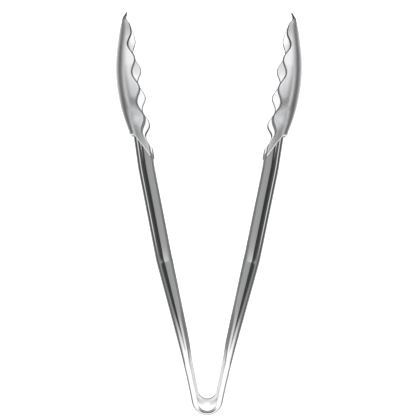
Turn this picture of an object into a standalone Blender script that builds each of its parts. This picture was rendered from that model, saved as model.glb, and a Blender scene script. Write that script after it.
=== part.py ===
"""Spring kitchen tongs in polished stainless sheet, lying on their side and standing open.

All lengths are in metres and all angles in degrees. +Y runs from the spring bow to the jaw tips,
+X runs across the opening and +Z is up. The origin is below the middle of the tongs.

The tongs are one strip: a spring bow, an arm on each side of it, and a spoon-shaped jaw lapped over the
end of each arm. One side is worked out with x outward from the middle line and y up from the bottom of
the bow, and both hands are made from it.
"""

import math

import bmesh
import bpy

# Sheet of the strip and of the jaws, and the gap between pieces that touch
SHEET = 0.0014
JAW_SHEET = 0.0018
SEAT_GAP = 0.0003

# Spring bow: outer radius, then the tail that leads to the arm
BOW_RADIUS = 0.012
BOW_TAIL = 0.0136
BOW_HALF_WIDTH = 0.0143
BOW_CORNER = 0.0047
BOW_LIP = 0.0004
BOW_CURL_ANGLE = 75.0

# Run of the arm's outer face, as angles from the middle line and the lengths between them
ROOT_ANGLE = 11.5
LOWER_ANGLE = 16.0
UPPER_ANGLE = 11.3
WRIST_ANGLE = 8.5
ROOT_LENGTH = 0.0066
SPLAY_LENGTH = 0.0398
LOWER_LENGTH = 0.0597
ELBOW_LENGTH = 0.005
UPPER_LENGTH = 0.0661
WRIST_LENGTH = 0.006
NECK_LENGTH = 0.0184
TONGUE_LENGTH = 0.0068

# Channel section of the arm, and where its flanges start to rise above the curled edge
ARM_HALF_WIDTH = 0.00975
ARM_CORNER = 0.007
ARM_LIP = 0.00475
FLANGE_START = 0.0293
CURL_CLOSES = 0.0415

# Tongue of the arm inside the jaw's heel: its sides are cut back at the seam's slope, and this depth
# is left at its end, with a short straight lip past the cut
TONGUE_DEPTH = 0.0025
TONGUE_LIP = 0.0009

# Run of the jaw's outer face from the heel on
HEEL_LENGTH = 0.012
HEEL_ANGLE = 22.8
BACK_LENGTH = 0.0608
BACK_ANGLE = -6.5
FRONT_LENGTH = 0.0093
NOSE_LENGTH = 0.0155
NOSE_ANGLE = -14.0
TOOTH_BEND = 0.001
TOOTH_LENGTH = 0.0053
TOOTH_ANGLE = -32.0

# Jaw section
JAW_HALF_WIDTH = 0.0191
JAW_FLAT = 0.0004
JAW_SWEEP_ANGLE = 72.0
NECK_SWEEP_ANGLE = 62.0
NOSE_SWEEP_ANGLE = 56.0
NOSE_ROUND = 0.048
NOSE_TAPER_SHARE = 0.68
TOOTH_HALF_WIDTH = 0.0032
TOOTH_DEPTH = 0.0022
TIP_HALF_WIDTH = 0.0008
TIP_DEPTH = 0.0008
BOWL_DEPTH_SHARE = 0.66
NECK_DEPTH_SHARE = 0.5

# Seam of the jaw on the arm: square over the web, slanted over the flanges
SEAM_SETBACK = 0.0048
SEAM_KNEE = 0.0036
SEAM_SOFTNESS = 0.0012
SEAM_SLOPE = 1.82
SEAM_FADE = 0.045
FLARE_LENGTH = 0.03
NECK_HELD = 0.002
NECK_OPENS = 0.02
BOWL_DEEPENS = 0.045

# Rim of the jaw: a straight line of peaks at two depths inside the jaw's back, scallops
# cut back from it that end just past the start of the nose, and a rise to the tooth
RIM_BACK_DEPTH = 0.016
RIM_NOSE_DEPTH = 0.012
SCALLOP_DEPTH = 0.004
SCALLOP_PITCH = 0.0218
SCALLOP_COUNT = 4
SCALLOP_LEAD = 0.0033
NOSE_RISE_LEAD = 0.0107
NOSE_RISE_SLOPE = 0.7
NOSE_RISE_SOFTNESS = 0.0023

# Thickness left at the foot of the tooth and at its tip, as shares of the sheet
TOOTH_SHEET_SHARE = 0.7
TIP_SHEET_SHARE = 0.3

# Mesh steps
CORNER_STEPS = 4
BOWL_STEPS = 6
WALL_STEPS = 2
RIM_STEPS = 3
BOW_STEPS = 18
TAIL_STEPS = 3
BEND_STEPS = 4
RUN_STEPS = 3
FLANGE_STEPS = 6
TRIM_STEPS = 10
SCALLOP_STEPS = 8
NOSE_STEPS = 6
FOOT_STEPS = 2
TOOTH_STEPS = 4
SOLVE_STEPS = 40
SMALLEST_TURN = 1e-9
SMOOTH_ANGLE = 35.0

STEEL_COLOR = (0.56, 0.565, 0.57, 1.0)
STEEL_ROUGHNESS = 0.16


def smooth(share):
    """Ease from 0 to 1 with level ends."""
    share = min(max(share, 0.0), 1.0)
    return share * share * (3.0 - 2.0 * share)


def blend(start, end, share):
    return start + (end - start) * share


def ramp(distance, softness):
    """Zero before the start and the distance itself after it, with a soft corner between."""
    return (math.hypot(distance, softness) + distance) / 2.0


def step_along(x, y, heading, turn, distance):
    """Move along an arc, where turn is radians per metre and heading is measured outward from +Y."""
    end = heading + turn * distance
    if abs(turn) < SMALLEST_TURN:
        return x + distance * math.sin(heading), y + distance * math.cos(heading), end
    return (
        x + (math.cos(heading) - math.cos(end)) / turn,
        y + (math.sin(end) - math.sin(heading)) / turn,
        end,
    )


class Route:
    """The outer face of the strip seen along Z: arcs and straights, each with a length and an end angle."""

    def __init__(self, x, y, angle, stretches):
        self.legs = []
        heading = math.radians(angle)
        reached = 0.0
        for length, end_angle in stretches:
            turn = (math.radians(end_angle) - heading) / length
            self.legs.append((reached, x, y, heading, turn))
            x, y, heading = step_along(x, y, heading, turn, length)
            reached += length
        self.legs.append((reached, x, y, heading, 0.0))

    def at(self, distance):
        """Point and heading at a distance from the start; the ends run on straight."""
        if distance < 0.0:
            _, x, y, heading, _ = self.legs[0]
            return step_along(x, y, heading, 0.0, distance)
        leg = [leg for leg in self.legs if leg[0] <= distance][-1]
        return step_along(*leg[1:], distance - leg[0])

    def inside(self, distance, depth):
        """Point at a depth inward from the outer face."""
        x, y, heading = self.at(distance)
        return x - depth * math.cos(heading), y + depth * math.sin(heading)


# Distances along the arm's route from the bottom of the bow
BOW_END = BOW_RADIUS * math.radians(90.0 - ROOT_ANGLE)
HINGE_AT = BOW_END + BOW_TAIL
SPLAY_AT = BOW_END + ROOT_LENGTH
LOWER_AT = SPLAY_AT + SPLAY_LENGTH
ELBOW_AT = LOWER_AT + LOWER_LENGTH
UPPER_AT = ELBOW_AT + ELBOW_LENGTH
WRIST_AT = UPPER_AT + UPPER_LENGTH
NECK_AT = WRIST_AT + WRIST_LENGTH
HEEL_AT = NECK_AT + NECK_LENGTH
ARM_END = HEEL_AT + TONGUE_LENGTH
TRIM_AT = ARM_END - SEAM_SLOPE * (ARM_CORNER + ARM_LIP - TONGUE_DEPTH)
FLANGE_AT = BOW_END + FLANGE_START
CURL_CLOSED_AT = BOW_END + CURL_CLOSES

# Distances along the jaw's route from the start of its heel
BACK_AT = HEEL_LENGTH
FRONT_AT = BACK_AT + BACK_LENGTH
NOSE_AT = FRONT_AT + FRONT_LENGTH
TOOTH_BEND_AT = NOSE_AT + NOSE_LENGTH
TOOTH_AT = TOOTH_BEND_AT + TOOTH_BEND
TIP_AT = TOOTH_AT + TOOTH_LENGTH

LAP_STEP = JAW_SHEET + SEAT_GAP

ARM_ROUTE = Route(0.0, 0.0, 90.0, [
    (BOW_END, ROOT_ANGLE),
    (ROOT_LENGTH, ROOT_ANGLE),
    (SPLAY_LENGTH, LOWER_ANGLE),
    (LOWER_LENGTH, LOWER_ANGLE),
    (ELBOW_LENGTH, UPPER_ANGLE),
    (UPPER_LENGTH, UPPER_ANGLE),
    (WRIST_LENGTH, WRIST_ANGLE),
])

JAW_ROUTE = Route(*ARM_ROUTE.inside(HEEL_AT, -LAP_STEP), WRIST_ANGLE, [
    (HEEL_LENGTH, HEEL_ANGLE),
    (BACK_LENGTH, BACK_ANGLE),
    (FRONT_LENGTH, BACK_ANGLE),
    (NOSE_LENGTH, NOSE_ANGLE),
    (TOOTH_BEND, TOOTH_ANGLE),
])

# The rim's line of peaks lies between two points inside the jaw's back, at its start and at the nose
RIM_BACK = JAW_ROUTE.inside(BACK_AT, RIM_BACK_DEPTH)
RIM_NOSE = JAW_ROUTE.inside(NOSE_AT, RIM_NOSE_DEPTH)
RIM_SLOPE = (RIM_NOSE[0] - RIM_BACK[0]) / (RIM_NOSE[1] - RIM_BACK[1])


def spread(stops, counts):
    """Distances that divide each stretch between stops into its own count of equal steps."""
    places = [stops[0]]
    for start, end, count in zip(stops, stops[1:], counts):
        places += [blend(start, end, step / count) for step in range(1, count + 1)]
    return places


def section_loop(flat, round_z, round_depth, sweep, wall, sheet, round_steps):
    """Closed loop of (depth, z) round the sheet: outer face, rim, inner face, other rim.

    The outer face is a flat back, an elliptic corner swept through an angle, and a straight wall whose
    rounded edge ends at the wall's full length. Returns the loop and the count of its outer points.
    """
    half = []
    for step in range(round_steps + 1):
        turned = sweep * step / round_steps
        normal = (math.cos(turned) / round_depth, -math.sin(turned) / round_z)
        size = math.hypot(*normal)
        place = (round_depth * (1.0 - math.cos(turned)), flat + round_z * math.sin(turned))
        half.append((place, (normal[0] / size, normal[1] / size)))
    (depth, z), normal = half[-1]
    along = (-normal[1], normal[0])
    straight = wall - sheet / 2.0
    for step in range(1, WALL_STEPS + 1):
        reach = straight * step / WALL_STEPS
        half.append(((depth + along[0] * reach, z + along[1] * reach), normal))
    outer = [((d, -z), (nd, -nz)) for (d, z), (nd, nz) in reversed(half)] + half
    inner = [(d + nd * sheet, z + nz * sheet) for (d, z), (nd, nz) in outer]
    rims = []
    for (place, normal), side in ((outer[-1], 1.0), (outer[0], -1.0)):
        centre = (place[0] + normal[0] * sheet / 2.0, place[1] + normal[1] * sheet / 2.0)
        forward = (-normal[1] * side, normal[0] * side)
        arc = []
        for step in range(1, RIM_STEPS):
            angle = math.pi * step / RIM_STEPS
            back, ahead = -math.cos(angle) * sheet / 2.0, math.sin(angle) * sheet / 2.0
            arc.append(tuple(centre[i] + normal[i] * back + forward[i] * ahead for i in (0, 1)))
        rims.append(arc)
    loop = [place for place, _ in outer] + rims[0] + inner[::-1] + rims[1][::-1]
    return loop, len(outer)


def arm_section(distance):
    """The channel of the bow and arm at a distance along its route."""
    curl = smooth((distance - HINGE_AT) / (CURL_CLOSED_AT - HINGE_AT))
    rise = min(max((distance - FLANGE_AT) / (ELBOW_AT - FLANGE_AT), 0.0), 1.0)
    sweep = math.radians(blend(BOW_CURL_ANGLE, 90.0, curl))
    corner = blend(BOW_CORNER, ARM_CORNER, rise)
    lip = blend(BOW_LIP + SHEET / 2.0, ARM_LIP, rise)
    half_width = blend(BOW_HALF_WIDTH, ARM_HALF_WIDTH, rise)
    flat = half_width - corner * math.sin(sweep) - lip * math.cos(sweep)
    arc_depth = corner * (1.0 - math.cos(sweep))
    depth = min(arc_depth + lip * math.sin(sweep), TONGUE_DEPTH + (ARM_END - distance) / SEAM_SLOPE)
    cut = min(arc_depth, depth - TONGUE_LIP)
    end = math.acos(1.0 - cut / corner)
    wall = (depth - cut) / math.sin(end)
    return section_loop(flat, corner, corner, end, wall, SHEET, CORNER_STEPS)


def arm_depth(distance):
    """Depth of the arm's section, from its outer face to the edges of its flanges."""
    return max(depth for depth, _ in arm_section(distance)[0])


def rim_x(y, scalloped):
    """Where the rim of the jaw lies across the opening, at a height above the bottom of the bow."""
    past = y - RIM_NOSE[1]
    x = RIM_NOSE[0] + RIM_SLOPE * past + NOSE_RISE_SLOPE * ramp(past - NOSE_RISE_LEAD, NOSE_RISE_SOFTNESS)
    if not scalloped:
        return x
    cycles = (past - SCALLOP_LEAD) / SCALLOP_PITCH + SCALLOP_COUNT
    if not 0.0 < cycles < SCALLOP_COUNT:
        return x
    return x + SCALLOP_DEPTH * (1.0 - math.cos(math.tau * cycles)) / 2.0


def seam_shear(line, depth):
    """How far a line across the jaw runs back towards the bow at a depth, fading out past the seam."""
    fade = 1.0 - smooth((line - SEAM_SETBACK) / SEAM_FADE)
    return SEAM_SLOPE * fade * (ramp(depth - SEAM_KNEE, SEAM_SOFTNESS) - ramp(-SEAM_KNEE, SEAM_SOFTNESS))


def jaw_point(line, depth):
    return JAW_ROUTE.inside(line - seam_shear(line, depth), depth)


def rim_depth(line, scalloped):
    """Depth at which a line across the jaw reaches the rim."""
    low, high = 0.0, 2.0 * JAW_HALF_WIDTH
    for _ in range(SOLVE_STEPS):
        depth = (low + high) / 2.0
        x, y = jaw_point(line, depth)
        low, high = (depth, high) if x > rim_x(y, scalloped) else (low, depth)
    return low


def bowl_half_width(line):
    """Half-width of the bowl: full at the back, drawn in to the foot of the tooth."""
    share = min(max(TOOTH_AT - line, 0.0) / NOSE_ROUND, 1.0)
    width = JAW_HALF_WIDTH * (1.0 - (1.0 - share) ** 2) ** NOSE_TAPER_SHARE
    return min(math.hypot(TOOTH_HALF_WIDTH, width), JAW_HALF_WIDTH)


def jaw_section(line):
    """The spoon at a line across the jaw: a channel at the seam, a bowl, and a small hook at the tooth."""
    flare = smooth((line - SEAM_SETBACK) / FLARE_LENGTH)
    nose = smooth((line - FRONT_AT) / (TOOTH_BEND_AT - FRONT_AT))
    foot = min(max((line - TOOTH_BEND_AT) / TOOTH_BEND, 0.0), 1.0)
    tooth = min(max((line - TOOTH_AT) / TOOTH_LENGTH, 0.0), 1.0)
    half_width = blend(ARM_HALF_WIDTH + LAP_STEP, bowl_half_width(line), flare)
    half_width = blend(half_width, TIP_HALF_WIDTH, tooth)
    hook_depth = blend(TOOTH_DEPTH, TIP_DEPTH, tooth)
    base = min(line, TOOTH_BEND_AT)
    peaks = blend(rim_depth(base, False), hook_depth, foot)
    depth = blend(rim_depth(base, True), hook_depth, foot)
    sheet = JAW_SHEET * blend(blend(1.0, TOOTH_SHEET_SHARE, nose), TIP_SHEET_SHARE, tooth)
    opened = smooth((line - SEAM_SETBACK - NECK_HELD) / NECK_OPENS)
    deepened = smooth((line - SEAM_SETBACK) / BOWL_DEEPENS)
    sweep = blend(90.0, blend(NECK_SWEEP_ANGLE, JAW_SWEEP_ANGLE, deepened), opened)
    sweep = math.radians(blend(sweep, NOSE_SWEEP_ANGLE, nose))
    arc_share = blend(NECK_DEPTH_SHARE, BOWL_DEPTH_SHARE, deepened)
    arc_depth = blend(ARM_CORNER + LAP_STEP, arc_share * peaks, opened)
    round_depth = arc_depth / (1.0 - math.cos(sweep))
    lean = math.cos(sweep) / (math.sin(sweep) * round_depth)
    flat = blend(ARM_HALF_WIDTH - ARM_CORNER, JAW_FLAT * half_width / JAW_HALF_WIDTH, flare)
    round_z = (half_width - flat) / (math.sin(sweep) + lean * (peaks - arc_depth))
    cut = min(arc_depth, depth - sheet)
    end = math.acos(1.0 - cut / round_depth)
    wall = (depth - cut) * math.hypot(1.0, round_z * math.cos(end) / (math.sin(end) * round_depth))
    return section_loop(flat, round_z, round_depth, end, wall, sheet, BOWL_STEPS)


def arm_rings(stops, counts):
    """Rings of (x, y, z) along the bow and arm."""
    rings = []
    for distance in spread(stops, counts):
        loop, outer = arm_section(distance)
        rings.append([(*ARM_ROUTE.inside(distance, depth), z) for depth, z in loop])
    return rings, outer


def jaw_lines():
    """Lines across the jaw, closer together where the scallops and the tooth are."""
    scalloped = SCALLOP_COUNT * SCALLOP_STEPS
    stops = [SEAM_SETBACK, NOSE_AT, TOOTH_BEND_AT, TOOTH_AT, TIP_AT]
    return spread(stops, [scalloped, NOSE_STEPS, FOOT_STEPS, TOOTH_STEPS])


def jaw_rings():
    rings = []
    for line in jaw_lines():
        loop, outer = jaw_section(line)
        rings.append([(*jaw_point(line, depth), z) for depth, z in loop])
    return rings, outer


def steel(name):
    material = bpy.data.materials.new(name)
    material.use_nodes = True
    shader = material.node_tree.nodes["Principled BSDF"]
    shader.inputs["Base Color"].default_value = STEEL_COLOR
    shader.inputs["Metallic"].default_value = 1.0
    shader.inputs["Roughness"].default_value = STEEL_ROUGHNESS
    material.diffuse_color = STEEL_COLOR
    return material


def end_faces(ring, outer):
    """Index lists that close one end of the sheet: quads between its skins and a fan at each rim."""
    inner = outer + RIM_STEPS - 1
    faces = []
    for i in range(outer - 1):
        far = inner + outer - 1 - i
        faces.append([ring[i], ring[i + 1], ring[far - 1], ring[far]])
    faces.append([ring[i] for i in range(outer - 1, inner + 1)])
    faces.append([ring[i] for i in range(inner + outer - 1, len(ring))] + [ring[0]])
    return faces


def sheet_object(name, rings, outer, side, pivot):
    """One closed piece of sheet through the rings, on the +X or the -X side, with its origin at pivot."""
    mesh = bpy.data.meshes.new(name)
    work = bmesh.new()
    verts = [[work.verts.new((side * x - pivot[0], y - pivot[1], z - pivot[2])) for x, y, z in ring]
             for ring in rings]
    count = len(verts[0])
    for low, high in zip(verts, verts[1:]):
        for i in range(count):
            j = (i + 1) % count
            work.faces.new((low[i], low[j], high[j], high[i]))
    for face in end_faces(verts[0], outer) + end_faces(verts[-1], outer):
        work.faces.new(face)
    bmesh.ops.recalc_face_normals(work, faces=work.faces)
    work.to_mesh(mesh)
    work.free()
    mesh.shade_smooth()
    mesh.set_sharp_from_angle(angle=math.radians(SMOOTH_ANGLE))
    mesh.materials.append(steel(name + "_steel"))
    made = bpy.data.objects.new(name, mesh)
    made.location = pivot
    bpy.context.scene.collection.objects.link(made)
    return made


def placed(rings, rise):
    """Rings moved from the bow's own heights to the middle of the tongs, and up off the ground."""
    middle, ground = rise
    return [[(x, y - middle, z + ground) for x, y, z in ring] for ring in rings]


def both_halves(rings):
    """The rings of the right half carried on through the bottom of the bow to the left half."""
    left = [[(-x, y, z) for x, y, z in ring] for ring in reversed(rings[1:])]
    return left + rings


def hinge_point(rise):
    """Where the arm turns: the edge of the curl at the end of the bow's tail, level with the middle."""
    x, y = ARM_ROUTE.inside(HINGE_AT, arm_depth(HINGE_AT))
    return x, y - rise[0], rise[1]


def clear_scene():
    for old in list(bpy.data.objects):
        bpy.data.objects.remove(old)


def make_bow(rise):
    stops = [0.0, BOW_END, HINGE_AT - SEAT_GAP / 2.0]
    rings, outer = arm_rings(stops, [BOW_STEPS // 2, TAIL_STEPS])
    sheet_object("spring_bow", placed(both_halves(rings), rise), outer, 1.0, (0.0, 0.0, 0.0))


def make_side(name, side, rise):
    """One arm with its jaw. The arm's origin is on its hinge, and the jaw goes with the arm."""
    bends = [FLANGE_AT, LOWER_AT, ELBOW_AT, UPPER_AT, WRIST_AT, NECK_AT]
    stops = [HINGE_AT + SEAT_GAP / 2.0, *bends, TRIM_AT, ARM_END]
    counts = [RUN_STEPS, BEND_STEPS, FLANGE_STEPS, BEND_STEPS, RUN_STEPS, BEND_STEPS, 1, TRIM_STEPS]
    x, y, z = hinge_point(rise)
    rings, outer = arm_rings(stops, counts)
    arm = sheet_object(name + "_arm", placed(rings, rise), outer, side, (side * x, y, z))
    rings, outer = jaw_rings()
    jaw = sheet_object(name + "_jaw", placed(rings, rise), outer, side, (side * x, y, z))
    jaw.parent = arm
    jaw.location = (0.0, 0.0, 0.0)


def main():
    clear_scene()
    corners = [corner for ring in jaw_rings()[0] for corner in ring]
    rise = (max(y for _, y, _ in corners) / 2.0, max(z for _, _, z in corners))
    make_bow(rise)
    make_side("left", -1.0, rise)
    make_side("right", 1.0, rise)
    print("hinge", [round(value, 6) for value in hinge_point(rise)])
    print("length", round(rise[0] * 2.0, 6), "height", round(rise[1] * 2.0, 6))


main()
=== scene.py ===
"""Looks of the spring kitchen tongs: fine polished sheet meshes, steel finish with painted shade and painted
light, studio and camera.

All lengths are in metres and all angles in degrees. +Y runs from the spring bow to the jaw tips, +X across
the opening and +Z up. One side is worked out with x outward from the middle line and y up from the bottom
of the bow, and both hands are made from it.
"""

import math

import bmesh
import bpy
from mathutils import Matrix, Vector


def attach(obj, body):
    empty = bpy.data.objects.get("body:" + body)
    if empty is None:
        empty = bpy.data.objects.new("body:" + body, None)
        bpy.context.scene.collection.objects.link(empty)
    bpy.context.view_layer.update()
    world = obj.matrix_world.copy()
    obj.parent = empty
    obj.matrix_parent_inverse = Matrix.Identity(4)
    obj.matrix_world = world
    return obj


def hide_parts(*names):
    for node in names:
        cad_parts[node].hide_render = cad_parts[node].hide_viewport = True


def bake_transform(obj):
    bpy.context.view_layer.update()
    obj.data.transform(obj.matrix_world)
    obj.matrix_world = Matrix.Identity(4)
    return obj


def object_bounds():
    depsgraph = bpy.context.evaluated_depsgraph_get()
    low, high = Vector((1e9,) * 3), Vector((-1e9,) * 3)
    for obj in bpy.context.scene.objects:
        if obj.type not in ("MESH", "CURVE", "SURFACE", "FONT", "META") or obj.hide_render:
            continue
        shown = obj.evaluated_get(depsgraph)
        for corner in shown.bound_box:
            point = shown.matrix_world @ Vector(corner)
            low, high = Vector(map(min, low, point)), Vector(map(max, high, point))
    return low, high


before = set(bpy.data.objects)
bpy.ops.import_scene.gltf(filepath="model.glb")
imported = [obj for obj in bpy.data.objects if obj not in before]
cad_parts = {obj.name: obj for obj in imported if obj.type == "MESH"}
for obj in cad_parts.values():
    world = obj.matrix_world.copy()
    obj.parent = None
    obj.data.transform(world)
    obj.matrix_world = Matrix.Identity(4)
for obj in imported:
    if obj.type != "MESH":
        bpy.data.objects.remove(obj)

CAD_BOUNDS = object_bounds()

# Sheet of the strip and of the jaws, and the gap between pieces that touch
SHEET = 0.0014
JAW_SHEET = 0.0018
SEAT_GAP = 0.0003

# Spring bow and the strip's route, as in the solid model
BOW_RADIUS = 0.012
BOW_TAIL = 0.0136
BOW_HALF_WIDTH = 0.0143
BOW_CORNER = 0.0047
BOW_LIP = 0.0004
BOW_CURL_ANGLE = 75.0
ROOT_ANGLE = 11.5
LOWER_ANGLE = 16.0
UPPER_ANGLE = 11.3
WRIST_ANGLE = 8.5
ROOT_LENGTH = 0.0066
SPLAY_LENGTH = 0.0398
LOWER_LENGTH = 0.0597
ELBOW_LENGTH = 0.005
UPPER_LENGTH = 0.0661
WRIST_LENGTH = 0.006
NECK_LENGTH = 0.0184
TONGUE_LENGTH = 0.0068
ARM_HALF_WIDTH = 0.00975
ARM_CORNER = 0.007
ARM_LIP = 0.00475
FLANGE_START = 0.0293
CURL_CLOSES = 0.0415
TONGUE_DEPTH = 0.0025
TONGUE_LIP = 0.0009

# Jaw
HEEL_LENGTH = 0.012
HEEL_ANGLE = 22.8
BACK_LENGTH = 0.0608
BACK_ANGLE = -6.5
FRONT_LENGTH = 0.0093
NOSE_LENGTH = 0.0155
NOSE_ANGLE = -14.0
TOOTH_BEND = 0.001
TOOTH_LENGTH = 0.0053
TOOTH_ANGLE = -32.0
JAW_HALF_WIDTH = 0.0191
JAW_FLAT = 0.0004
JAW_SWEEP_ANGLE = 72.0
NECK_SWEEP_ANGLE = 62.0
NOSE_SWEEP_ANGLE = 56.0
NOSE_ROUND = 0.048
NOSE_TAPER_SHARE = 0.68
TOOTH_HALF_WIDTH = 0.0032
TOOTH_DEPTH = 0.0022
TIP_HALF_WIDTH = 0.0008
TIP_DEPTH = 0.0008
BOWL_DEPTH_SHARE = 0.66
NECK_DEPTH_SHARE = 0.5
SEAM_SETBACK = 0.0048
SEAM_KNEE = 0.0036
SEAM_SOFTNESS = 0.0012
SEAM_SLOPE = 1.82
SEAM_FADE = 0.045
FLARE_LENGTH = 0.03
NECK_HELD = 0.002
NECK_OPENS = 0.02
BOWL_DEEPENS = 0.045
RIM_BACK_DEPTH = 0.016
RIM_NOSE_DEPTH = 0.012
SCALLOP_DEPTH = 0.004
SCALLOP_PITCH = 0.0218
SCALLOP_COUNT = 4
SCALLOP_LEAD = 0.0033
NOSE_RISE_LEAD = 0.0107
NOSE_RISE_SLOPE = 0.7
NOSE_RISE_SOFTNESS = 0.0023
TOOTH_SHEET_SHARE = 0.7
TIP_SHEET_SHARE = 0.3

# Ends of the sheet are rounded over this length
EDGE_ROUND = 0.0012
EDGE_STEPS = 5
EDGE_FLAT_SHARE = 0.12
# The jaw's seam edge is painted near-white, a painted highlight, over this many steps of its rounding
SEAM_STEPS = 4

# Mesh steps
FLAT_STEPS = 4
CORNER_STEPS = 14
BOWL_STEPS = 22
WALL_STEPS = 5
RIM_STEPS = 8
STEP_LENGTH = 0.0014
BOW_STEP_LENGTH = 0.0005
JAW_STEP_LENGTH = 0.0008
NOSE_STEP_LENGTH = 0.0004
SOLVE_STEPS = 40
SMALLEST_TURN = 1e-9
SMOOTH_ANGLE = 40.0


def smooth(share):
    """Ease from 0 to 1 with level ends."""
    share = min(max(share, 0.0), 1.0)
    return share * share * (3.0 - 2.0 * share)


def blend(start, end, share):
    return start + (end - start) * share


def ramp(distance, softness):
    """Zero before the start and the distance itself after it, with a soft corner between."""
    return (math.hypot(distance, softness) + distance) / 2.0


def step_along(x, y, heading, turn, distance):
    """Move along an arc, where turn is radians per metre and heading is measured outward from +Y."""
    end = heading + turn * distance
    if abs(turn) < SMALLEST_TURN:
        return x + distance * math.sin(heading), y + distance * math.cos(heading), end
    return (
        x + (math.cos(heading) - math.cos(end)) / turn,
        y + (math.sin(end) - math.sin(heading)) / turn,
        end,
    )


class Route:
    """The outer face of the strip seen along Z: arcs and straights, each with a length and an end angle."""

    def __init__(self, x, y, angle, stretches):
        self.legs = []
        heading = math.radians(angle)
        reached = 0.0
        for length, end_angle in stretches:
            turn = (math.radians(end_angle) - heading) / length
            self.legs.append((reached, x, y, heading, turn))
            x, y, heading = step_along(x, y, heading, turn, length)
            reached += length
        self.legs.append((reached, x, y, heading, 0.0))

    def at(self, distance):
        """Point and heading at a distance from the start; the ends run on straight."""
        if distance < 0.0:
            _, x, y, heading, _ = self.legs[0]
            return step_along(x, y, heading, 0.0, distance)
        leg = [leg for leg in self.legs if leg[0] <= distance][-1]
        return step_along(*leg[1:], distance - leg[0])

    def inside(self, distance, depth):
        """Point at a depth inward from the outer face."""
        x, y, heading = self.at(distance)
        return x - depth * math.cos(heading), y + depth * math.sin(heading)


# Distances along the arm's route from the bottom of the bow
BOW_END = BOW_RADIUS * math.radians(90.0 - ROOT_ANGLE)
HINGE_AT = BOW_END + BOW_TAIL
ELBOW_AT = BOW_END + ROOT_LENGTH + SPLAY_LENGTH + LOWER_LENGTH
HEEL_AT = ELBOW_AT + ELBOW_LENGTH + UPPER_LENGTH + WRIST_LENGTH + NECK_LENGTH
ARM_END = HEEL_AT + TONGUE_LENGTH
FLANGE_AT = BOW_END + FLANGE_START
CURL_CLOSED_AT = BOW_END + CURL_CLOSES

# Distances along the jaw's route from the start of its heel
FRONT_AT = HEEL_LENGTH + BACK_LENGTH
NOSE_AT = FRONT_AT + FRONT_LENGTH
TOOTH_BEND_AT = NOSE_AT + NOSE_LENGTH
TOOTH_AT = TOOTH_BEND_AT + TOOTH_BEND
TIP_AT = TOOTH_AT + TOOTH_LENGTH

LAP_STEP = JAW_SHEET + SEAT_GAP

ARM_ROUTE = Route(0.0, 0.0, 90.0, [
    (BOW_END, ROOT_ANGLE),
    (ROOT_LENGTH, ROOT_ANGLE),
    (SPLAY_LENGTH, LOWER_ANGLE),
    (LOWER_LENGTH, LOWER_ANGLE),
    (ELBOW_LENGTH, UPPER_ANGLE),
    (UPPER_LENGTH, UPPER_ANGLE),
    (WRIST_LENGTH, WRIST_ANGLE),
])

JAW_ROUTE = Route(*ARM_ROUTE.inside(HEEL_AT, -LAP_STEP), WRIST_ANGLE, [
    (HEEL_LENGTH, HEEL_ANGLE),
    (BACK_LENGTH, BACK_ANGLE),
    (FRONT_LENGTH, BACK_ANGLE),
    (NOSE_LENGTH, NOSE_ANGLE),
    (TOOTH_BEND, TOOTH_ANGLE),
])

# The rim's line of peaks lies between two points inside the jaw's back, at its start and at the nose
RIM_BACK = JAW_ROUTE.inside(HEEL_LENGTH, RIM_BACK_DEPTH)
RIM_NOSE = JAW_ROUTE.inside(NOSE_AT, RIM_NOSE_DEPTH)
RIM_SLOPE = (RIM_NOSE[0] - RIM_BACK[0]) / (RIM_NOSE[1] - RIM_BACK[1])


def section_loop(flat, round_z, round_depth, sweep, wall, sheet, inset, round_steps):
    """Closed loop of (depth, z) round the sheet, with its skins drawn in by an inset at a rounded end.

    The outer face is a flat back, an elliptic corner swept through an angle, and a straight wall whose
    rounded edge ends at the wall's full length. Returns the loop and the count of its outer points.
    """
    half = []
    for step in range(FLAT_STEPS):
        half.append(((0.0, flat * (step + 0.5) / FLAT_STEPS), (1.0, 0.0)))
    for step in range(round_steps + 1):
        turned = sweep * step / round_steps
        normal = (math.cos(turned) / round_depth, -math.sin(turned) / round_z)
        size = math.hypot(*normal)
        place = (round_depth * (1.0 - math.cos(turned)), flat + round_z * math.sin(turned))
        half.append((place, (normal[0] / size, normal[1] / size)))
    (depth, z), normal = half[-1]
    along = (-normal[1], normal[0])
    straight = wall - sheet / 2.0
    for step in range(1, WALL_STEPS + 1):
        reach = straight * step / WALL_STEPS
        half.append(((depth + along[0] * reach, z + along[1] * reach), normal))
    whole = [((d, -z), (nd, -nz)) for (d, z), (nd, nz) in reversed(half)] + half
    outer = [(d + nd * inset, z + nz * inset) for (d, z), (nd, nz) in whole]
    inner = [(d + nd * (sheet - inset), z + nz * (sheet - inset)) for (d, z), (nd, nz) in whole]
    rims = []
    for (place, normal), side in ((whole[-1], 1.0), (whole[0], -1.0)):
        centre = (place[0] + normal[0] * sheet / 2.0, place[1] + normal[1] * sheet / 2.0)
        forward = (-normal[1] * side, normal[0] * side)
        arc = []
        for step in range(1, RIM_STEPS):
            angle = math.pi * step / RIM_STEPS
            radius = sheet / 2.0 - inset
            back, ahead = -math.cos(angle) * radius, math.sin(angle) * radius
            arc.append(tuple(centre[i] + normal[i] * back + forward[i] * ahead for i in (0, 1)))
        rims.append(arc)
    return outer + rims[0] + inner[::-1] + rims[1][::-1], len(outer)


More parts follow.
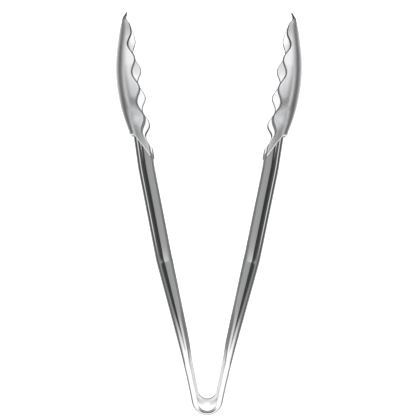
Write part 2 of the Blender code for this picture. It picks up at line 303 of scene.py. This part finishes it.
def arm_section(distance, inset):
    """The channel of the bow and arm at a distance along its route."""
    curl = smooth((distance - HINGE_AT) / (CURL_CLOSED_AT - HINGE_AT))
    rise = min(max((distance - FLANGE_AT) / (ELBOW_AT - FLANGE_AT), 0.0), 1.0)
    sweep = math.radians(blend(BOW_CURL_ANGLE, 90.0, curl))
    corner = blend(BOW_CORNER, ARM_CORNER, rise)
    lip = blend(BOW_LIP + SHEET / 2.0, ARM_LIP, rise)
    half_width = blend(BOW_HALF_WIDTH, ARM_HALF_WIDTH, rise)
    flat = half_width - corner * math.sin(sweep) - lip * math.cos(sweep)
    arc_depth = corner * (1.0 - math.cos(sweep))
    depth = min(arc_depth + lip * math.sin(sweep), TONGUE_DEPTH + (ARM_END - distance) / SEAM_SLOPE)
    cut = min(arc_depth, depth - TONGUE_LIP)
    end = math.acos(1.0 - cut / corner)
    wall = (depth - cut) / math.sin(end)
    return section_loop(flat, corner, corner, end, wall, SHEET, inset, CORNER_STEPS)


def rim_x(y, scalloped):
    """Where the rim of the jaw lies across the opening, at a height above the bottom of the bow."""
    past = y - RIM_NOSE[1]
    x = RIM_NOSE[0] + RIM_SLOPE * past + NOSE_RISE_SLOPE * ramp(past - NOSE_RISE_LEAD, NOSE_RISE_SOFTNESS)
    if not scalloped:
        return x
    cycles = (past - SCALLOP_LEAD) / SCALLOP_PITCH + SCALLOP_COUNT
    if not 0.0 < cycles < SCALLOP_COUNT:
        return x
    return x + SCALLOP_DEPTH * (1.0 - math.cos(math.tau * cycles)) / 2.0


def seam_shear(line, depth):
    """How far a line across the jaw runs back towards the bow at a depth, fading out past the seam."""
    fade = 1.0 - smooth((line - SEAM_SETBACK) / SEAM_FADE)
    return SEAM_SLOPE * fade * (ramp(depth - SEAM_KNEE, SEAM_SOFTNESS) - ramp(-SEAM_KNEE, SEAM_SOFTNESS))


def jaw_point(line, depth):
    return JAW_ROUTE.inside(line - seam_shear(line, depth), depth)


def rim_depth(line, scalloped):
    """Depth at which a line across the jaw reaches the rim."""
    low, high = 0.0, 2.0 * JAW_HALF_WIDTH
    for _ in range(SOLVE_STEPS):
        depth = (low + high) / 2.0
        x, y = jaw_point(line, depth)
        low, high = (depth, high) if x > rim_x(y, scalloped) else (low, depth)
    return low


def bowl_half_width(line):
    """Half-width of the bowl: full at the back, drawn in to the foot of the tooth."""
    share = min(max(TOOTH_AT - line, 0.0) / NOSE_ROUND, 1.0)
    width = JAW_HALF_WIDTH * (1.0 - (1.0 - share) ** 2) ** NOSE_TAPER_SHARE
    return min(math.hypot(TOOTH_HALF_WIDTH, width), JAW_HALF_WIDTH)


def jaw_section(line, inset):
    """The spoon at a line across the jaw: a channel at the seam, a bowl, and a small hook at the tooth."""
    flare = smooth((line - SEAM_SETBACK) / FLARE_LENGTH)
    nose = smooth((line - FRONT_AT) / (TOOTH_BEND_AT - FRONT_AT))
    foot = min(max((line - TOOTH_BEND_AT) / TOOTH_BEND, 0.0), 1.0)
    tooth = min(max((line - TOOTH_AT) / TOOTH_LENGTH, 0.0), 1.0)
    half_width = blend(ARM_HALF_WIDTH + LAP_STEP, bowl_half_width(line), flare)
    half_width = blend(half_width, TIP_HALF_WIDTH, tooth)
    hook_depth = blend(TOOTH_DEPTH, TIP_DEPTH, tooth)
    base = min(line, TOOTH_BEND_AT)
    peaks = blend(rim_depth(base, False), hook_depth, foot)
    depth = blend(rim_depth(base, True), hook_depth, foot)
    sheet = JAW_SHEET * blend(blend(1.0, TOOTH_SHEET_SHARE, nose), TIP_SHEET_SHARE, tooth)
    opened = smooth((line - SEAM_SETBACK - NECK_HELD) / NECK_OPENS)
    deepened = smooth((line - SEAM_SETBACK) / BOWL_DEEPENS)
    sweep = blend(90.0, blend(NECK_SWEEP_ANGLE, JAW_SWEEP_ANGLE, deepened), opened)
    sweep = math.radians(blend(sweep, NOSE_SWEEP_ANGLE, nose))
    arc_share = blend(NECK_DEPTH_SHARE, BOWL_DEPTH_SHARE, deepened)
    arc_depth = blend(ARM_CORNER + LAP_STEP, arc_share * peaks, opened)
    round_depth = arc_depth / (1.0 - math.cos(sweep))
    lean = math.cos(sweep) / (math.sin(sweep) * round_depth)
    flat = blend(ARM_HALF_WIDTH - ARM_CORNER, JAW_FLAT * half_width / JAW_HALF_WIDTH, flare)
    round_z = (half_width - flat) / (math.sin(sweep) + lean * (peaks - arc_depth))
    cut = min(arc_depth, depth - sheet)
    end = math.acos(1.0 - cut / round_depth)
    wall = (depth - cut) * math.hypot(1.0, round_z * math.cos(end) / (math.sin(end) * round_depth))
    inset = min(inset, sheet * (0.5 - EDGE_FLAT_SHARE))
    return section_loop(flat, round_z, round_depth, end, wall, sheet, inset, BOWL_STEPS)


def even_steps(start, end, step_length):
    count = max(round((end - start) / step_length), 1)
    return [blend(start, end, step / count) for step in range(count + 1)]


def rounded_end(end, direction, sheet):
    """Places and insets from a rounded end of the sheet inwards."""
    steps = []
    for step in range(EDGE_STEPS + 1):
        turned = math.pi / 2.0 * step / EDGE_STEPS
        place = end + direction * EDGE_ROUND * (1.0 - math.cos(turned))
        steps.append((place, (1.0 - math.sin(turned)) * sheet * (0.5 - EDGE_FLAT_SHARE)))
    return steps


def arm_lines():
    """Distances and insets along half of the strip, from the middle of the bow to the hidden tongue."""
    body = even_steps(0.0, HINGE_AT, BOW_STEP_LENGTH)
    body += even_steps(HINGE_AT, ARM_END - EDGE_ROUND, STEP_LENGTH)[1:]
    lines = [(place, 0.0) for place in body]
    return lines + rounded_end(ARM_END, -1.0, SHEET)[-2::-1]


def jaw_lines():
    """Lines and insets along the jaw, from the seam to the tooth's tip."""
    start = SEAM_SETBACK + EDGE_ROUND
    body = even_steps(start, NOSE_AT, JAW_STEP_LENGTH)
    body += even_steps(NOSE_AT, TIP_AT, NOSE_STEP_LENGTH)[1:]
    return rounded_end(SEAM_SETBACK, 1.0, JAW_SHEET)[:-1] + [(place, 0.0) for place in body]


def rings_of(lines, section, point):
    """Rings of (x, y, z) along a piece."""
    rings = []
    for line, inset in lines:
        loop, outer = section(line, inset)
        rings.append([(*point(line, depth), z) for depth, z in loop])
    return rings, outer


def end_faces(ring, outer):
    """Vertex lists that close one end of the sheet: quads between its skins and a fan at each rim."""
    inner = outer + RIM_STEPS - 1
    faces = []
    for i in range(outer - 1):
        far = inner + outer - 1 - i
        faces.append([ring[i], ring[i + 1], ring[far - 1], ring[far]])
    faces.append([ring[i] for i in range(outer - 1, inner + 1)])
    faces.append([ring[i] for i in range(inner + outer - 1, len(ring))] + [ring[0]])
    return faces


def face_kind(step, outer):
    """Material of a strip of the loop: 0 for the outer face, 1 for a rounded edge, 2 for the inner face; 1
    and 2 carry painted shade and painted light.
    """
    inner = outer + RIM_STEPS - 1
    if step < outer - 1:
        return 0
    if inner <= step < inner + outer - 1:
        return 2
    return 1


def sheet_object(name, rings, outer, side, shift, steel_and_painted_shading, start=0):
    """One closed piece of sheet on the +X or -X side, with a map of metres along and across the sheet.

    The shift is the model's middle above the bottom of the bow, and the middle plane above the ground. The
    rounding at the first end, and the outer face over the first SEAM_STEPS rings, take the material numbered
    start;
    on the jaw that is the seam's painted highlight.
    """
    middle, ground = shift
    mesh = bpy.data.meshes.new(name)
    work = bmesh.new()
    chart = work.loops.layers.uv.new("sheet_metres")
    places = {}
    verts = []
    along = 0.0
    for index, ring in enumerate(rings):
        if index:
            along += math.dist(ring[outer // 2], rings[index - 1][outer // 2])
        row = []
        across = 0.0
        for i, (x, y, z) in enumerate(ring):
            if i:
                across += math.dist(ring[i], ring[i - 1])
            vert = work.verts.new((side * x, y - middle, z + ground))
            places[vert] = (along, across)
            row.append(vert)
        verts.append(row)
    count = len(verts[0])
    faces = []
    for index, (low, high) in enumerate(zip(verts, verts[1:])):
        for i in range(count):
            j = (i + 1) % count
            kind = face_kind(i, outer)
            if kind == 0 and index < SEAM_STEPS:
                kind = start
            faces.append(((low[i], low[j], high[j], high[i]), kind))
    faces += [(face, start) for face in end_faces(verts[0], outer)]
    faces += [(face, 0) for face in end_faces(verts[-1], outer)]
    for face, kind in faces:
        made = work.faces.new(face)
        made.material_index = kind
        for loop in made.loops:
            loop[chart].uv = places[loop.vert]
    bmesh.ops.recalc_face_normals(work, faces=work.faces)
    work.to_mesh(mesh)
    work.free()
    mesh.shade_smooth()
    mesh.set_sharp_from_angle(angle=math.radians(SMOOTH_ANGLE))
    for sheet_material in steel_and_painted_shading:
        mesh.materials.append(sheet_material)
    made = bpy.data.objects.new(name, mesh)
    bpy.context.scene.collection.objects.link(made)
    return made


# Steel finish, with painted shade and painted light on the sheet's edges, insides, seam and tooth
STEEL_DARK = (0.53, 0.535, 0.545, 1.0)
STEEL_LIGHT = (0.6, 0.605, 0.61, 1.0)
STRIP_ROUGHNESS = (0.035, 0.1)
STRIP_EDGE_ROUGHNESS = (0.25, 0.35)
JAW_ROUGHNESS = (0.25, 0.32)
INSIDE_ROUGHNESS = (0.36, 0.44)
# Painted shade: the strip's inner face gets a darker steel colour, whitened towards the bow as painted light
STRIP_INSIDE_PAINTED_SHADE_LOW = (0.28, 0.28, 0.285, 1.0)
STRIP_INSIDE_PAINTED_SHADE_HIGH = (0.36, 0.36, 0.365, 1.0)
# Painted light: the jaw's inner face gets a lighter steel colour than its outer face
JAW_INSIDE_PAINTED_LIGHT_LOW = (0.7, 0.7, 0.705, 1.0)
JAW_INSIDE_PAINTED_LIGHT_HIGH = (0.8, 0.8, 0.8, 1.0)
EDGE_ROUGHNESS = (0.4, 0.5)
# Painted shade: the jaw's rounded edges get a near-black steel colour
JAW_EDGE_PAINTED_SHADE_LOW = (0.11, 0.11, 0.113, 1.0)
JAW_EDGE_PAINTED_SHADE_HIGH = (0.2, 0.2, 0.205, 1.0)
SEAM_ROUGHNESS = (0.5, 0.6)
# Painted highlight: the jaw's seam edge gets a near-white steel colour
SEAM_PAINTED_HIGHLIGHT_LOW = (0.9, 0.9, 0.9, 1.0)
SEAM_PAINTED_HIGHLIGHT_HIGH = (0.95, 0.95, 0.95, 1.0)
# Painted shade: the strip's rounded edges get a darker steel colour, whitened towards the bow as painted
# light
STRIP_EDGE_PAINTED_SHADE_LOW = (0.22, 0.22, 0.225, 1.0)
STRIP_EDGE_PAINTED_SHADE_HIGH = (0.32, 0.32, 0.325, 1.0)
# Painted light: towards the bow the insides and edges of the strip are painted whiter, but for the edges at
# the bow's middle. Painted shade: the tooth and the rim of the nose are painted darker. Amounts are against
# the distance along the sheet as a share.
PAINTED_SHADING_LENGTH = 0.12
BOW_PAINTED_LIGHT = (0.93, 0.93, 0.93, 1.0)
TIP_PAINTED_SHADE = (0.06, 0.06, 0.062, 1.0)
STRIP_INSIDE_BOW_PAINTED_LIGHT_SHARE = ((0.0, 1.0), (0.33, 1.0), (0.43, 0.0))
STRIP_EDGE_BOW_PAINTED_LIGHT_SHARE = (
    (0.0, 0.0), (0.08, 0.0), (0.115, 1.0), (0.33, 1.0), (0.43, 0.0), (0.64, 0.0), (0.75, 0.35), (0.95, 0.0),
)
JAW_EDGE_TIP_PAINTED_SHADE_SHARE = ((0.5, 0.0), (0.58, 0.8), (0.7, 1.0))
JAW_TIP_PAINTED_SHADE_SHARE = ((0.75, 0.0), (0.79, 0.75))
STREAKS_PER_METRE = 2600.0
STREAK_LENGTHS_PER_METRE = 45.0
CLOUDS_PER_METRE = 28.0
RIPPLES_PER_METRE = 55.0
STREAK_BUMP = 0.000004
RIPPLE_BUMP = 0.00002
STREAK_DETAIL = 3.0
STREAK_ROUGHNESS = 0.6
CLOUD_DETAIL = 4.0
RIPPLE_DETAIL = 1.0
# Noise values that give the least and the greatest roughness
NOISE_SPAN = (0.3, 0.7)
# Share of the fine lines against the clouds in each finish
STRIP_STREAK_SHARE = 0.6
JAW_STREAK_SHARE = 0.45
OTHER_STREAK_SHARE = 0.5


def add_node(tree, kind, **values):
    node = tree.nodes.new(kind)
    for name, value in values.items():
        setattr(node, name, value)
    return node


def math_node(tree, operation, first, second=None):
    node = add_node(tree, "ShaderNodeMath", operation=operation)
    for socket, value in zip(node.inputs, (first, second)):
        if value is None:
            continue
        if isinstance(value, (int, float)):
            socket.default_value = value
        else:
            tree.links.new(value, socket)
    return node.outputs[0]


def grey_ramp(tree, source, stops):
    """Grey levels against a value from 0 to 1."""
    node = add_node(tree, "ShaderNodeValToRGB")
    elements = node.color_ramp.elements
    while len(elements) > 1:
        elements.remove(elements[-1])
    elements[0].position = stops[0][0]
    elements[0].color = (stops[0][1],) * 3 + (1.0,)
    for place, level in stops[1:]:
        made = elements.new(place)
        made.color = (level,) * 3 + (1.0,)
    tree.links.new(source, node.inputs["Fac"])
    return node.outputs["Color"]


def mixed(tree, factor, first, second):
    node = add_node(tree, "ShaderNodeMix", data_type="RGBA")
    for name, value in (("Factor", factor), ("A", first), ("B", second)):
        if isinstance(value, tuple):
            node.inputs[name].default_value = value
        else:
            tree.links.new(value, node.inputs[name])
    return node.outputs["Result"]


def steel(name, streak_share, roughness, colors=(STEEL_DARK, STEEL_LIGHT), painted_shading=None):
    """Stainless steel with fine polishing lines along the sheet and faint cloudiness.

    The painted shading, when given, is a colour and the amounts of it against the distance along the sheet
    as a share of the painted shading length above; it paints light towards the bow and shade at the tooth.
    """
    material = bpy.data.materials.new(name)
    material.use_nodes = True
    tree = material.node_tree
    shader = tree.nodes["Principled BSDF"]
    shader.inputs["Metallic"].default_value = 1.0
    chart = add_node(tree, "ShaderNodeUVMap", uv_map="sheet_metres")
    stretch = add_node(tree, "ShaderNodeMapping")
    stretch.inputs["Scale"].default_value = (STREAK_LENGTHS_PER_METRE, STREAKS_PER_METRE, 1.0)
    tree.links.new(chart.outputs["UV"], stretch.inputs["Vector"])
    streaks = add_node(tree, "ShaderNodeTexNoise")
    streaks.inputs["Scale"].default_value = 1.0
    streaks.inputs["Detail"].default_value = STREAK_DETAIL
    streaks.inputs["Roughness"].default_value = STREAK_ROUGHNESS
    tree.links.new(stretch.outputs["Vector"], streaks.inputs["Vector"])
    position = add_node(tree, "ShaderNodeTexCoord")
    clouds = add_node(tree, "ShaderNodeTexNoise")
    clouds.inputs["Scale"].default_value = CLOUDS_PER_METRE
    clouds.inputs["Detail"].default_value = CLOUD_DETAIL
    tree.links.new(position.outputs["Object"], clouds.inputs["Vector"])
    ripples = add_node(tree, "ShaderNodeTexNoise")
    ripples.inputs["Scale"].default_value = RIPPLES_PER_METRE
    ripples.inputs["Detail"].default_value = RIPPLE_DETAIL
    tree.links.new(position.outputs["Object"], ripples.inputs["Vector"])

    color = add_node(tree, "ShaderNodeMix", data_type="RGBA")
    color.inputs["A"].default_value = colors[0]
    color.inputs["B"].default_value = colors[1]
    blended = add_node(tree, "ShaderNodeMix", data_type="FLOAT")
    blended.inputs["Factor"].default_value = streak_share
    tree.links.new(clouds.outputs["Fac"], blended.inputs["A"])
    tree.links.new(streaks.outputs["Fac"], blended.inputs["B"])
    tree.links.new(blended.outputs["Result"], color.inputs["Factor"])
    shown = color.outputs["Result"]
    # Painted light and painted shade over the steel's colour along the sheet: whiter towards the bow, darker
    # at the tooth
    if painted_shading:
        split = add_node(tree, "ShaderNodeSeparateXYZ")
        tree.links.new(chart.outputs["UV"], split.inputs[0])
        along = math_node(tree, "DIVIDE", split.outputs[0], PAINTED_SHADING_LENGTH)
        shown = mixed(tree, grey_ramp(tree, along, painted_shading[1]), shown, painted_shading[0])
    tree.links.new(shown, shader.inputs["Base Color"])

    rough = add_node(tree, "ShaderNodeMapRange")
    rough.inputs["From Min"].default_value = NOISE_SPAN[0]
    rough.inputs["From Max"].default_value = NOISE_SPAN[1]
    rough.inputs["To Min"].default_value = roughness[0]
    rough.inputs["To Max"].default_value = roughness[1]
    tree.links.new(blended.outputs["Result"], rough.inputs["Value"])
    tree.links.new(rough.outputs["Result"], shader.inputs["Roughness"])

    fine = add_node(tree, "ShaderNodeBump")
    fine.inputs["Strength"].default_value = 1.0
    fine.inputs["Distance"].default_value = STREAK_BUMP
    tree.links.new(streaks.outputs["Fac"], fine.inputs["Height"])
    broad = add_node(tree, "ShaderNodeBump")
    broad.inputs["Strength"].default_value = 1.0
    broad.inputs["Distance"].default_value = RIPPLE_BUMP
    tree.links.new(ripples.outputs["Fac"], broad.inputs["Height"])
    tree.links.new(fine.outputs["Normal"], broad.inputs["Normal"])
    tree.links.new(broad.outputs["Normal"], shader.inputs["Normal"])
    return material


def make_side(name, side, shift, strip_steel_and_painted_shading, jaw_steel_and_painted_shading):
    """Half of the strip, bending at the bow, and the jaw lapped over its end."""
    rings, outer = rings_of(arm_lines(), arm_section, ARM_ROUTE.inside)
    arm = sheet_object(name + "_half_strip", rings, outer, side, shift, strip_steel_and_painted_shading)
    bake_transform(arm)
    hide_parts(name + "_arm", "spring_bow")
    rings, outer = rings_of(jaw_lines(), jaw_section, jaw_point)
    jaw = sheet_object(name + "_spoon_jaw", rings, outer, side, shift, jaw_steel_and_painted_shading, len(jaw_steel_and_painted_shading) - 1)
    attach(jaw, name + "_side")
    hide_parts(name + "_jaw")


# Camera: straight down, as far above the middle plane as the photograph's perspective tells
CAMERA_DISTANCE = 0.430
CAMERA_X = -0.0002
CAMERA_Y_ABOVE_BOW = 0.15569
CAMERA_ROLL = 0.2985
FOCAL_PIXELS = 559.0
FRAME_PIXELS = 416.0
SENSOR_WIDTH_MM = 36.0
CLIP_START = 0.01
CLIP_END = 20.0


def make_camera(shift):
    middle, ground = shift
    data = bpy.data.cameras.new("camera")
    data.sensor_width = SENSOR_WIDTH_MM
    data.lens = FOCAL_PIXELS / FRAME_PIXELS * SENSOR_WIDTH_MM
    data.clip_start = CLIP_START
    data.clip_end = CLIP_END
    camera = bpy.data.objects.new("camera", data)
    camera.location = (CAMERA_X, CAMERA_Y_ABOVE_BOW - middle, ground + CAMERA_DISTANCE)
    camera.rotation_euler = (0.0, 0.0, math.radians(CAMERA_ROLL))
    bpy.context.scene.collection.objects.link(camera)
    bpy.context.scene.camera = camera


# Studio
FLOOR_SIZE = 12.0
FLOOR_COLOR = (0.93, 0.93, 0.93, 1.0)
FLOOR_ROUGHNESS = 0.9
ROOM_BRIGHTNESS = 2.4


def make_floor():
    mesh = bpy.data.meshes.new("floor")
    work = bmesh.new()
    bmesh.ops.create_grid(work, x_segments=1, y_segments=1, size=FLOOR_SIZE / 2.0)
    work.to_mesh(mesh)
    work.free()
    material = bpy.data.materials.new("pale_floor")
    material.use_nodes = True
    shader = material.node_tree.nodes["Principled BSDF"]
    shader.inputs["Base Color"].default_value = FLOOR_COLOR
    shader.inputs["Roughness"].default_value = FLOOR_ROUGHNESS
    shader.inputs["Specular IOR Level"].default_value = 0.0
    mesh.materials.append(material)
    floor = bpy.data.objects.new("floor", mesh)
    floor.visible_glossy = False
    bpy.context.scene.collection.objects.link(floor)


# Levels of the studio seen in the steel, against the lean of a direction from straight up towards +X or -X,
# as a share of 180 degrees: in the dark gap over the camera, on the jaws' side of it and on the bow's side
GAP_LEVELS_SHARE = (
    (0.0, 0.6), (0.03, 0.58), (0.046, 0.5), (0.062, 0.1), (0.08, 0.06), (0.22, 0.06), (0.27, 0.13),
    (0.36, 0.13), (0.385, 0.6), (0.4, 1.6), (0.425, 1.6), (0.445, 0.6), (0.49, 0.3), (0.53, 0.1),
    (0.61, 0.1), (0.67, 0.4), (0.76, 0.8), (0.87, 1.2), (1.0, 1.5),
)
JAW_SIDE_LEVELS_SHARE = (
    (0.0, 0.58), (0.05, 0.6), (0.1, 1.2), (0.17, 1.9), (0.23, 1.6), (0.29, 1.5), (0.35, 1.2), (0.42, 0.8),
    (0.47, 0.5), (0.515, 0.1), (0.585, 0.08), (0.64, 0.45), (0.71, 0.8), (0.8, 1.3), (0.9, 1.8), (1.0, 1.9),
)
BOW_SIDE_LEVELS_SHARE = (
    (0.0, 0.6), (0.03, 0.58), (0.046, 0.5), (0.062, 0.1), (0.15, 0.1), (0.21, 0.4), (0.38, 0.42),
    (0.46, 0.34), (0.52, 0.15), (0.59, 0.15), (0.64, 0.35), (0.71, 0.6), (0.8, 0.85), (0.9, 0.8), (1.0, 0.6),
)
# The white light past the bow's side, against the angle towards the bow as a share of 90 degrees
BOW_LIGHT_LEVELS_SHARE = (
    (0.0, 1.9), (0.44, 1.9), (0.5, 0.3), (0.74, 0.3), (0.8, 1.9), (1.0, 1.9),
)
# Where it starts, as a share of 90 degrees, against the lean as a share of 180 degrees
BOW_LIGHT_EDGE_SHARE = (
    (0.0, 0.076), (0.02, 0.075), (0.03, 0.063), (0.044, 0.08), (0.067, 0.115), (0.12, 0.132),
    (0.21, 0.165), (0.31, 0.205), (0.42, 0.265), (0.5, 0.285), (0.56, 0.33), (0.61, 0.6), (0.66, 0.68),
    (0.7, 0.7), (1.0, 0.7),
)
# How much of it shows, against the lean as a share of 180 degrees: less at the floor's level and below
BOW_LIGHT_SHARE = (
    (0.0, 1.0), (0.46, 1.0), (0.5, 0.6), (1.0, 0.6),
)
BOW_LIGHT_SOFTNESS = 4.0
# The grey streak in it ends at this lean
BOW_STREAK_END = 44.0
BOW_STREAK_SOFTNESS = 10.0
# Where the jaws' side starts, as a share of 90 degrees, against the lean as a share of 180 degrees
JAW_SIDE_EDGE_SHARE = (
    (0.0, 0.1), (0.05, 0.1), (0.08, 0.08), (0.13, 0.07), (0.17, 0.03), (0.26, 0.03), (0.33, 0.09),
    (0.5, 0.09), (0.6, 0.033), (1.0, 0.033),
)
# Where the bow's side starts, in degrees from the XZ plane, and how soft both edges of the gap are
GAP_BOW_EDGE = 13.6
GAP_SOFTNESS = 2.4


def soft_step(tree, angle, edge, softness):
    """0 below the edge and 1 past it, over a soft band in degrees. The angle and edge are in radians."""
    past = math_node(tree, "SUBTRACT", angle, edge)
    share = math_node(tree, "DIVIDE", past, math.radians(softness))
    step = math_node(tree, "ADD", share, 0.5)
    step.node.use_clamp = True
    return step


def make_studio():
    """Even white light on the floor, and in the steel soft lights with a dark gap between them."""
    world = bpy.data.worlds.new("studio")
    bpy.context.scene.world = world
    world.use_nodes = True
    tree = world.node_tree
    tree.nodes.clear()
    direction = add_node(tree, "ShaderNodeTexCoord")
    split = add_node(tree, "ShaderNodeSeparateXYZ")
    tree.links.new(direction.outputs["Generated"], split.inputs[0])
    x, y, z = split.outputs
    lean = math_node(tree, "ARCTAN2", math_node(tree, "ABSOLUTE", x), z)
    lean_share = math_node(tree, "DIVIDE", lean, math.pi)
    to_jaws = math_node(tree, "ARCSINE", y)
    to_bow = math_node(tree, "MULTIPLY", to_jaws, -1.0)
    gap = grey_ramp(tree, lean_share, GAP_LEVELS_SHARE)
    jaw_side = grey_ramp(tree, lean_share, JAW_SIDE_LEVELS_SHARE)
    bow_side = grey_ramp(tree, lean_share, BOW_SIDE_LEVELS_SHARE)
    quarter_turn = math.pi / 2.0
    bow_share = math_node(tree, "DIVIDE", to_bow, quarter_turn)
    bow_light = grey_ramp(tree, bow_share, BOW_LIGHT_LEVELS_SHARE)
    streak_past = soft_step(tree, lean, math.radians(BOW_STREAK_END), BOW_STREAK_SOFTNESS)
    full_light = (BOW_LIGHT_LEVELS_SHARE[0][1],) * 3 + (1.0,)
    bow_light = mixed(tree, streak_past, bow_light, full_light)
    dimmed = add_node(tree, "ShaderNodeVectorMath", operation="MULTIPLY")
    tree.links.new(bow_light, dimmed.inputs[0])
    tree.links.new(grey_ramp(tree, lean_share, BOW_LIGHT_SHARE), dimmed.inputs[1])
    light_edge = math_node(tree, "MULTIPLY", grey_ramp(tree, lean_share, BOW_LIGHT_EDGE_SHARE), quarter_turn)
    jaw_edge_painted_shade = math_node(tree, "MULTIPLY", grey_ramp(tree, lean_share, JAW_SIDE_EDGE_SHARE), quarter_turn)
    in_jaw_side = soft_step(tree, to_jaws, jaw_edge_painted_shade, GAP_SOFTNESS)
    in_bow_side = soft_step(tree, to_bow, math.radians(GAP_BOW_EDGE), GAP_SOFTNESS)
    in_bow_light = soft_step(tree, to_bow, light_edge, BOW_LIGHT_SOFTNESS)
    pattern = mixed(tree, in_jaw_side, gap, jaw_side)
    pattern = mixed(tree, in_bow_side, pattern, bow_side)
    pattern = mixed(tree, in_bow_light, pattern, dimmed.outputs[0])
    path = add_node(tree, "ShaderNodeLightPath")
    room = (ROOM_BRIGHTNESS,) * 3 + (1.0,)
    shown = mixed(tree, path.outputs["Is Glossy Ray"], room, pattern)
    background = add_node(tree, "ShaderNodeBackground")
    tree.links.new(shown, background.inputs["Color"])
    output = add_node(tree, "ShaderNodeOutputWorld")
    tree.links.new(background.outputs["Background"], output.inputs["Surface"])
    bpy.context.scene.view_settings.view_transform = "Standard"


def main():
    low, high = CAD_BOUNDS
    shift = ((high[1] - low[1]) / 2.0, (high[2] - low[2]) / 2.0)
    # The edge, inside and seam materials carry painted shade and painted light; the jaw's outer steel is
    # painted darker at the tooth
    strip_steel_and_painted_shading = (
        steel("strip_steel", STRIP_STREAK_SHARE, STRIP_ROUGHNESS),
        steel("strip_edge_painted_shade_and_light", OTHER_STREAK_SHARE, STRIP_EDGE_ROUGHNESS, (STRIP_EDGE_PAINTED_SHADE_LOW, STRIP_EDGE_PAINTED_SHADE_HIGH),
              (BOW_PAINTED_LIGHT, STRIP_EDGE_BOW_PAINTED_LIGHT_SHARE)),
        steel("strip_inside_painted_shade_and_light", OTHER_STREAK_SHARE, INSIDE_ROUGHNESS, (STRIP_INSIDE_PAINTED_SHADE_LOW, STRIP_INSIDE_PAINTED_SHADE_HIGH),
              (BOW_PAINTED_LIGHT, STRIP_INSIDE_BOW_PAINTED_LIGHT_SHARE)),
    )
    jaw_steel_and_painted_shading = (
        steel("jaw_steel", JAW_STREAK_SHARE, JAW_ROUGHNESS, painted_shading=(TIP_PAINTED_SHADE, JAW_TIP_PAINTED_SHADE_SHARE)),
        steel("jaw_edge_painted_shade", OTHER_STREAK_SHARE, EDGE_ROUGHNESS, (JAW_EDGE_PAINTED_SHADE_LOW, JAW_EDGE_PAINTED_SHADE_HIGH),
              (TIP_PAINTED_SHADE, JAW_EDGE_TIP_PAINTED_SHADE_SHARE)),
        steel("jaw_inside_painted_light", OTHER_STREAK_SHARE, INSIDE_ROUGHNESS, (JAW_INSIDE_PAINTED_LIGHT_LOW, JAW_INSIDE_PAINTED_LIGHT_HIGH)),
        steel("jaw_seam_painted_highlight", OTHER_STREAK_SHARE, SEAM_ROUGHNESS, (SEAM_PAINTED_HIGHLIGHT_LOW, SEAM_PAINTED_HIGHLIGHT_HIGH)),
    )
    make_side("left", -1.0, shift, strip_steel_and_painted_shading, jaw_steel_and_painted_shading)
    make_side("right", 1.0, shift, strip_steel_and_painted_shading, jaw_steel_and_painted_shading)
    make_floor()
    make_studio()
    make_camera(shift)


main()
